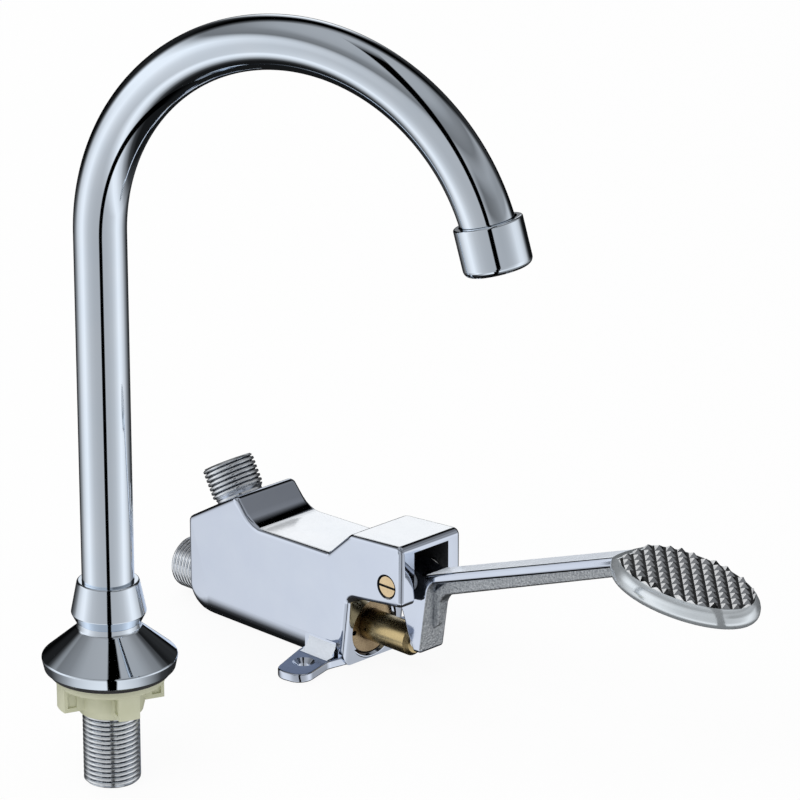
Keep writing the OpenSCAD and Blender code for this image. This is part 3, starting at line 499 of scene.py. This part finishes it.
def casting():
    """Valve casting: polished sides; painted highlight on the tops, painted light on the lugs' fillets, painted dark
    reflection on the lugs' tops, painted shade in the slot, bores, under the head and round the pivot.
    """

    def number_of(face):
        c, n = face.center / MM, face.normal
        # painted highlight on the level tops of the saddle and the head
        if n.z > LEVEL and c.z > TOP_Z and c.x > TOP_X:
            return 1
        # painted light on the upward faces of the lugs' fillets
        if n.z > SLIGHT and abs(c.y) > BODY_HALF + NEAR and LUG_T + 2 * NEAR < c.z < LUG_T + LUG_FILLET:
            return 2
        # painted shade in the slot, the bore, under the head and in the recess round the pivot
        in_slot = abs(c.y) < SLOT_HALF + NEAR and c.x > SLOT_BACK - NEAR and AXIS_Z < c.z < SLOT_TOP + NEAR
        in_bore = math.hypot(c.y, c.z - AXIS_Z) < GLAND_R
        under_head = n.z < -FACING and c.x > HEAD_X and HEAD_UNDER[0] < c.z < HEAD_UNDER[1]
        in_recess = math.hypot(c.x - PIVOT_AT[0], c.z - PIVOT_AT[1]) < PIVOT_RECESS
        if in_slot or in_bore or under_head or in_recess:
            return 3
        # painted dark reflection on the level tops of the lugs
        on_lug = abs(c.z - LUG_T) < 2 * NEAR and abs(c.y) > LUG_FROM
        return 4 if n.z > LEVEL and on_lug else 0

    piece = make_piece("valve_casting", *cad_mesh("valve_body"), "valve_body", weld=WELD)
    paint(piece, [PAINTED_LIT_TOP, PAINTED_LIT_PALE, PAINTED_SHADE_CAST, PAINTED_DARK_LUG_TOP], number_of)


def arm_mesh():
    """The CAD lever up to its pad, with the arm's end carried on into the pad, and the rib tapered."""
    bm = bmesh.new()
    bm.from_mesh(frame["nodes"]["pedal_lever"].data)
    bmesh.ops.remove_doubles(bm, verts=bm.verts, dist=WELD)
    whole = bm.verts[:] + bm.edges[:] + bm.faces[:]
    cut = bmesh.ops.bisect_plane(
        bm, geom=whole, plane_co=(ARM_CUT * MM, 0, 0), plane_no=(1, 0, 0), clear_outer=True)
    edge = [e for e in cut["geom_cut"] if isinstance(e, bmesh.types.BMEdge)]
    carried = bmesh.ops.extrude_edge_only(bm, edges=edge)["geom"]
    ends = [v for v in carried if isinstance(v, bmesh.types.BMVert)]
    top = max(v.co.z for v in ends)
    rise = math.radians(ARM_RISE)
    for v in ends:
        v.co.z = max(v.co.z, top - ARM_DEEP * MM)
        v.co += Vector((math.cos(rise), 0, math.sin(rise))) * ARM_INTO * MM
    bmesh.ops.remove_doubles(bm, verts=bm.verts, dist=WELD)
    bmesh.ops.holes_fill(bm, edges=[e for e in bm.edges if e.is_boundary], sides=0)
    bmesh.ops.triangulate(bm, faces=[f for f in bm.faces if len(f.verts) > 4])
    bmesh.ops.dissolve_degenerate(bm, edges=bm.edges, dist=WELD)
    for v in bm.verts:
        x, y, z = v.co / MM
        if abs(y) < RIB_HALF + NEAR and x > FRONT_X and z < RIB_BEND:
            v.co.y *= RIB_TIP + (1 - RIB_TIP) * max(0, (z - RIB_END) / (RIB_BEND - RIB_END))
    bm.verts.index_update()
    verts = [v.co.copy() for v in bm.verts]
    faces = [[v.index for v in f.verts] for f in bm.faces]
    bm.free()
    return verts, faces


def lever():
    """Pedal lever up to its pad: polished plate, rough front and rib, painted light on the top of the arm."""

    def number_of(face):
        c, n = face.center / MM, face.normal
        on_front = n.x > FACING and c.z < FRONT_TOP
        on_rib = abs(c.y) < RIB_HALF + NEAR and n.z < STEEP
        if c.x > FRONT_X and (on_front or on_rib):
            return 1
        # painted light on the upward top of the arm
        return 2 if n.z > UPWARD and c.x > ARM_TOP_X else 0

    paint(make_piece("lever_casting", *arm_mesh(), "pedal_lever"), [ROUGH_CAST, PAINTED_LIT_PALE], number_of)


def pad_place(p):
    """Point of the frame in the pad's own lengths: along it, across it and above its top, in millimetres."""
    tilt = math.radians(PAD_TILT)
    x, z = p.x / MM - PAD_AT[0], p.z / MM - PAD_AT[1]
    along = x * math.cos(tilt) - z * math.sin(tilt)
    return Vector((along, p.y / MM, x * math.sin(tilt) + z * math.cos(tilt)))


def pad_to_frame():
    at = Matrix.Translation(Vector((PAD_AT[0], 0, PAD_AT[1])) * MM)
    return at @ Matrix.Rotation(math.radians(PAD_TILT), 4, "Y")


def tread_oval(q):
    """Below 1 inside the oval that bounds the tread."""
    return math.hypot(q.x / (PAD_L / 2 - TREAD_IN), q.y / (PAD_W / 2 - TREAD_IN))


def pad_fall(x):
    """Height of the arm's top over the pad's own plane, at x along the pad."""
    return math.tan(math.radians(ARM_SLOPE)) * (x - ARM_JOIN)


def pad():
    """Oval pad with a sloping rim and a bowl-shaped lower edge; its near end falls away to the arm's top."""
    sides = PAD_SIDES
    profile = list(PAD_RIM)
    for i in range(BOWL_STEPS + 1):
        q = math.radians(90) * i / BOWL_STEPS
        profile.append((PAD_BOWL * (1 - math.cos(q)), PAD_BOWL - PAD_DEEP - PAD_BOWL * math.sin(q)))
    verts = []
    for inset, height in profile:
        for k in range(sides):
            q = 2 * math.pi * k / sides
            x, y = (PAD_L / 2 - inset) * math.cos(q), (PAD_W / 2 - inset) * math.sin(q)
            verts.append(Vector((x, y, min(height, pad_fall(x)))))
    faces = []
    last = (len(profile) - 1) * sides
    for first in range(0, last, sides):
        for k in range(sides):
            a, b = first + k, first + (k + 1) % sides
            faces.append([a, b, b + sides, a + sides])
    for k in range(sides // 2):
        strip = dict.fromkeys((k, k + 1, (sides - k - 1) % sides, (sides - k) % sides))
        faces += [[first + n for n in strip] for first in (0, last)]

    # painted shade on the pad's top inside the tread's oval, between the studs
    def number_of(face):
        q = pad_place(face.center)
        return 1 if q.z > -NEAR / 2 and tread_oval(q) < 1 else 0

    piece = make_piece("pedal_pad", placed(pad_to_frame(), verts), faces, "pedal_lever", RIM)
    paint(piece, [TREAD_SHADE], number_of)


def stud(along, across, centre):
    """Corners of one low pyramid of the tread, drawn in where it would pass the oval."""
    foot = (STUD_ALONG / 2 - STUD_GAP[0], STUD_ACROSS / 2 - STUD_GAP[1], -STUD_SINK)
    corners = []
    for du, dv, height in (foot, (*STUD_TIP, STUD_H)):
        for su, sv in ((-1, -1), (1, -1), (1, 1), (-1, 1)):
            q = centre + along * su * du + across * sv * dv
            over = max(1, tread_oval(q))
            corners.append(Vector((q.x / over, q.y / over, height + min(0, pad_fall(q.x / over)))))
    return corners


def tread():
    """Studs of the pedal in rows, from the end of the arm to the far end of the pad; facets turned one way have
    painted light, those turned the other way painted shade.
    """
    turn = math.radians(STUD_TURN)
    along = Vector((math.cos(turn), math.sin(turn), 0))
    across = Vector((-math.sin(turn), math.cos(turn), 0))
    rows = range(-STUD_ROWS, STUD_ROWS + 1)
    verts, faces = [], []
    for centre in (along * STUD_ALONG * i + across * STUD_ACROSS * j for i in rows for j in rows):
        if tread_oval(centre) > TREAD_REACH or centre.x < TREAD_FROM:
            continue
        k = len(verts)
        verts += stud(along, across, centre)
        faces += [[k + 3, k + 2, k + 1, k], [k + 4, k + 5, k + 6, k + 7]]
        faces += [[k + n, k + (n + 1) % 4, k + 4 + (n + 1) % 4, k + 4 + n] for n in range(4)]

    def number_of(face):
        # painted light on facets turned one way, painted shade on those turned the other way, the mid tone on the
        # rest
        lean = face.normal.dot(across)
        if abs(lean) <= FACING:
            return 0
        return 1 if lean < 0 else 2

    piece = make_piece("tread_studs", placed(pad_to_frame(), verts), faces, "pedal_lever", TREAD)
    paint(piece, [PAINTED_LIT_FACET, TREAD_SHADE], number_of)


def pivot():
    """Pivot screw whose head is drawn in to stand clear of its recess, with painted shade in its slot."""
    verts, faces = cad_mesh("pivot_screw")
    centre = Vector((PIVOT_AT[0], 0, PIVOT_AT[1])) * MM
    for v in verts:
        out = Vector((v.x - centre.x, 0, v.z - centre.z))
        if out.length > PIVOT_HEAD * MM:
            out *= PIVOT_KEEP
        v.x, v.z = centre.x + out.x, centre.z + out.z

    def number_of(face):
        c = face.center / MM
        # painted shade in the screw's slot
        in_slot = PIVOT_FACE + NEAR < c.y < PIVOT_FACE + PIVOT_SLOT_DEEP
        return 1 if in_slot and abs(c.z - PIVOT_AT[1]) < PIVOT_SLOT_HALF else 0

    piece = make_piece("pivot_screw_head", verts, faces, "pivot_screw", BRASS_PALE, weld=WELD)
    paint(piece, [PAINTED_SHADE_CAST], number_of)


def carried_nodes():
    """CAD nodes whose shape is right get their finish."""
    # the gland nut gets pale brass, with painted shade in its deep corners
    special = {"gland_nut": BRASS_PALE}
    for node, obj in frame["nodes"].items():
        if obj.hide_render:
            continue
        obj.data.materials.clear()
        obj.data.materials.append(special.get(node, FINISH[SLOT_OF[node]]))


# Studio

def stage_material(name):
    """Material of the studio, empty so far, that isn't sampled as a lamp."""
    mat = bpy.data.materials.new(name)
    mat.use_nodes = True
    mat.cycles.emission_sampling = "NONE"
    mat.node_tree.nodes.clear()
    return mat, mat.node_tree


def studio_dome(centre):
    """Pale studio walls with dark cards, seen only by gloss."""
    bpy.ops.mesh.primitive_uv_sphere_add(
        segments=DOME_SEGMENTS, ring_count=DOME_RINGS, radius=DOME_R, location=centre)
    dome = bpy.context.object
    dome.name = "studio_dome"
    for ray in ("camera", "diffuse", "transmission", "shadow", "volume_scatter"):
        setattr(dome, "visible_" + ray, False)
    mat, tree = stage_material("studio_walls")
    place = add(tree, "ShaderNodeNewGeometry")
    offset = add(tree, "ShaderNodeVectorMath", operation="SUBTRACT")
    offset.inputs[1].default_value = centre
    tree.links.new(place.outputs["Position"], offset.inputs[0])
    ray = add(tree, "ShaderNodeVectorMath", operation="NORMALIZE")
    tree.links.new(offset.outputs["Vector"], ray.inputs[0])

    def towards(direction):
        dot = add(tree, "ShaderNodeVectorMath", operation="DOT_PRODUCT")
        dot.inputs[1].default_value = direction
        tree.links.new(ray.outputs["Vector"], dot.inputs[0])
        return dot.outputs["Value"]

    def blend(fac, a, b):
        mix = add(tree, "ShaderNodeMix", data_type="RGBA")
        tree.links.new(fac, mix.inputs["Factor"])
        tree.links.new(a, mix.inputs["A"])
        tree.links.new(b, mix.inputs["B"])
        return mix.outputs["Result"]

    def scaled(colour, fac):
        node = add(tree, "ShaderNodeVectorMath", operation="SCALE")
        tree.links.new(colour, node.inputs[0])
        tree.links.new(fac, node.inputs["Scale"])
        return node.outputs["Vector"]

    azimuth = math.radians(CAM_AZIMUTH)
    front = towards((math.cos(azimuth), math.sin(azimuth), 0))
    side = towards((-math.sin(azimuth), math.cos(azimuth), 0))
    up = towards((0, 0, 1))
    direction = {"front": front, "side": side, "up": up, "flank": calc(tree, "ABSOLUTE", side)}

    def card(fades):
        """Darkness of a card: the product of its fades."""
        total = None
        for name, span in fades.items():
            part = fade(tree, direction[name], span)
            total = part if total is None else calc(tree, "MULTIPLY", total, part)
        return total

    steep = calc(tree, "ADD", front, fade(tree, up, STEEP_DOWN))
    low = ramp(tree, fade(tree, steep, ALONG_WALL), LOW_WALL)
    mid = ramp(tree, fade(tree, front, ALONG_WALL), MID_WALL)
    cards = calc(tree, "MAXIMUM", card(RIGHT_CARD), card(LEFT_CARD))
    mid = scaled(mid, fade(tree, cards, INVERT))
    ceiling = scaled(ramp(tree, up, CEILING), fade(tree, front, CEILING_BACK))
    walls = blend(fade(tree, up, MID_FROM), low, mid)
    whole = blend(fade(tree, up, CEILING_FROM), walls, ceiling)
    whole = scaled(whole, fade(tree, card(EDGE_CARDS), INVERT))
    off_stripe = calc(tree, "ABSOLUTE", calc(tree, "SUBTRACT", side, STRIPE_AT))
    stripe = calc(tree, "MAXIMUM", fade(tree, off_stripe, STRIPE), fade(tree, front, STRIPE_BACK))
    glow = add(tree, "ShaderNodeEmission")
    tree.links.new(scaled(whole, stripe), glow.inputs["Color"])
    out = add(tree, "ShaderNodeOutputMaterial")
    tree.links.new(glow.outputs["Emission"], out.inputs["Surface"])
    dome.data.materials.append(mat)


def background_rays(tree):
    """1 for rays that show the background: camera, gloss and glass."""
    path = add(tree, "ShaderNodeLightPath")
    total = path.outputs["Is Camera Ray"]
    for name in ("Is Glossy Ray", "Is Transmission Ray"):
        total = calc(tree, "MAXIMUM", total, path.outputs[name])
    return total


def floor():
    """Grey floor that takes the shadow, and is nearly white where it is the background."""
    bpy.ops.mesh.primitive_plane_add(size=FLOOR_SIZE, location=(0, 0, FLOOR_Z))
    plane = bpy.context.object
    plane.name = "studio_floor"
    plane.visible_glossy = False
    mat, tree = stage_material("pale_floor")
    matte = add(tree, "ShaderNodeBsdfDiffuse")
    matte.inputs["Color"].default_value = (FLOOR_GREY, FLOOR_GREY, FLOOR_GREY, 1)
    white = add(tree, "ShaderNodeEmission")
    mix = add(tree, "ShaderNodeMixShader")
    tree.links.new(calc(tree, "MULTIPLY", background_rays(tree), FLOOR_WHITE), mix.inputs["Fac"])
    tree.links.new(matte.outputs["BSDF"], mix.inputs[1])
    tree.links.new(white.outputs["Emission"], mix.inputs[2])
    out = add(tree, "ShaderNodeOutputMaterial")
    tree.links.new(mix.outputs["Shader"], out.inputs["Surface"])
    plane.data.materials.append(mat)


def world():
    """Soft light from all round, before a white background."""
    sky = bpy.data.worlds.new("studio")
    bpy.context.scene.world = sky
    sky.use_nodes = True
    tree = sky.node_tree
    tree.nodes.clear()
    light = add(tree, "ShaderNodeBackground")
    light.inputs["Strength"].default_value = SKY_LIGHT
    white = add(tree, "ShaderNodeBackground")
    for node in (light, white):
        node.inputs["Color"].default_value = (1, 1, 1, 1)
    mix = add(tree, "ShaderNodeMixShader")
    tree.links.new(background_rays(tree), mix.inputs["Fac"])
    tree.links.new(light.outputs["Background"], mix.inputs[1])
    tree.links.new(white.outputs["Background"], mix.inputs[2])
    out = add(tree, "ShaderNodeOutputWorld")
    tree.links.new(mix.outputs["Shader"], out.inputs["Surface"])


def turned_to(aim, at):
    """Rotation that points a lamp or a camera at a place."""
    return (Vector(aim) - Vector(at)).normalized().to_track_quat("-Z", "Y").to_euler()


def lamp(name, at, aim, size, power):
    """Square lamp that gloss doesn't show; place and size are in metres, power in watts."""
    data = bpy.data.lights.new(name, "AREA")
    data.size = size
    data.energy = power
    obj = bpy.data.objects.new(name, data)
    obj.location = at
    obj.rotation_euler = turned_to(aim, at)
    obj.visible_glossy = False
    bpy.context.scene.collection.objects.link(obj)


def camera():
    data = bpy.data.cameras.new("photo_camera")
    data.lens = CAM_LENS
    data.sensor_width = CAM_SENSOR
    data.clip_start, data.clip_end = CAM_CLIP
    obj = bpy.data.objects.new("photo_camera", data)
    obj.location = Vector(CAM_AT) * MM
    obj.rotation_euler = turned_to(CAM_AIM, CAM_AT)
    bpy.context.scene.collection.objects.link(obj)
    bpy.context.scene.camera = obj


inlet_thread()
outlet_thread()
shank_thread()
gooseneck()
coil_spring()
casting()
lever()
pad()
tread()
pivot()
carried_nodes()

middle = (cad_box[0] + cad_box[1]) / 2
studio_dome(middle)
floor()
world()
lamp("key", at=(0.3, -1.2, 1.6), aim=middle, size=1.2, power=12)
lamp("fill", at=(-1.4, 0.6, 1.3), aim=middle, size=1.4, power=7)
camera()
bpy.context.scene.view_settings.view_transform = "Standard"
